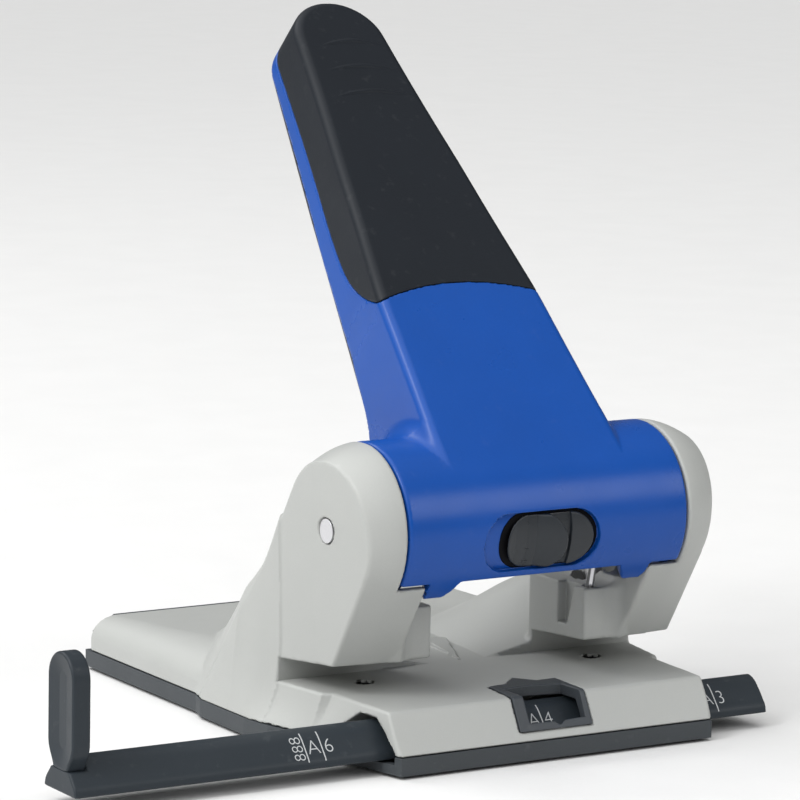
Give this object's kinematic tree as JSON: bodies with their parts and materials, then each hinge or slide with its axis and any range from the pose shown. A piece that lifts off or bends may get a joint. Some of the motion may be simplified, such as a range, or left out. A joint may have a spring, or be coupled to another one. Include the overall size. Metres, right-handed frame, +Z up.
{
  "type": "two hole punch",
  "caption": "Heavy-duty lever paper punch with two side frames, guide columns, a chip tray, a lockable lever and a sliding stop rail.",
  "frame": {"origin": "on the table under the mat, midway between the axes of the two punches", "axes": "+X to the right along the paper's edge, +Y from the paper side towards the back of the chip tray, +Z up"},
  "size_m": [0.2332, 0.1699, 0.2082],
  "materials": {
    "casting": "fine satin light grey powder coat on a casting",
    "insert_plastic": "satin moulded, very dark grey",
    "tray_plastic": "matt moulded, dark slate grey",
    "mat_rubber": "matt, finely grained",
    "tool_steel": "ground and hardened",
    "screw_steel": "zinc plated",
    "shaft_steel": "turned and polished ends",
    "spring_steel": "bright drawn wire",
    "bush_brass": "turned",
    "crank_steel": "stamped, lightly oiled",
    "blue_lacquer": "satin royal blue",
    "cover_plastic": "matt moulded, near black",
    "grip_rubber": "fine matt blue-black soft touch",
    "slider_plastic": "satin moulded, dark grey",
    "rail_plastic": "satin moulded, dark slate grey with pale printed scale marks"
  },
  "bodies": {
    "root": {"base_bed": "casting", "rear_housing": "casting", "side_frame_left": "casting", "side_frame_right": "casting", "window_frame": "insert_plastic", "die_left": "tool_steel", "die_right": "tool_steel", "frame_screw_1": "screw_steel", "frame_screw_2": "screw_steel", "frame_screw_3": "screw_steel", "frame_screw_4": "screw_steel", "bed_screw_left": "screw_steel", "bed_screw_right": "screw_steel", "pivot_shaft": "shaft_steel", "lever_return_spring": "spring_steel", "guide_bush_left": "bush_brass", "guide_bush_right": "bush_brass", "rail_detent_spring": "spring_steel"},
    "lever": {"lever_shell": "blue_lacquer", "lever_cover": "cover_plastic", "grip": "grip_rubber", "bearing_bush_left": "bush_brass", "bearing_bush_right": "bush_brass", "crank_yoke_left": "crank_steel", "crank_yoke_right": "crank_steel", "crank_roller_left": "tool_steel", "crank_roller_right": "tool_steel", "slider_detent_spring": "spring_steel"},
    "lock_slider": {"lock_slider": "slider_plastic", "slider_retainer": "slider_plastic"},
    "punch_left": {"punch_left": "tool_steel"},
    "punch_right": {"punch_right": "tool_steel"},
    "stop_rail": {"rail": "rail_plastic", "stop_paddle": "rail_plastic"},
    "chip_tray": {"chip_tray": "tray_plastic", "anti_slip_mat": "mat_rubber"}
  },
  "joints": [
    {"name": "lever_hinge", "type": "hinge", "parent": "root", "child": "lever", "pos_m": [0, -0.01217, 0.06724], "axis": [-1, 0, 0], "range_deg": [0, 52], "stiffness_Nm_per_rad": 1.2, "springref_deg": -51.57},
    {"name": "punch_left_slide", "type": "slide", "parent": "root", "child": "punch_left", "axis": [0, 0, -1], "range_m": [0, 0.01275]},
    {"name": "punch_right_slide", "type": "slide", "parent": "root", "child": "punch_right", "axis": [0, 0, -1], "range_m": [0, 0.01275]},
    {"name": "lock_slide", "type": "slide", "parent": "lever", "child": "lock_slider", "axis": [-1, 0, 0], "range_m": [0, 0.0066]},
    {"name": "rail_slide", "type": "slide", "parent": "root", "child": "stop_rail", "axis": [1, 0, 0], "range_m": [-0.0615, 0.0745]},
    {"name": "tray_hinge", "type": "hinge", "parent": "root", "child": "chip_tray", "pos_m": [0, -0.0438, 0.006], "axis": [-1, 0, 0], "range_deg": [0, 35]}
  ],
  "couplings": [
    {"joint": "punch_left_slide", "follows": "lever_hinge", "m_per_rad": 0.014},
    {"joint": "punch_right_slide", "follows": "lever_hinge", "m_per_rad": 0.014}
  ]
}
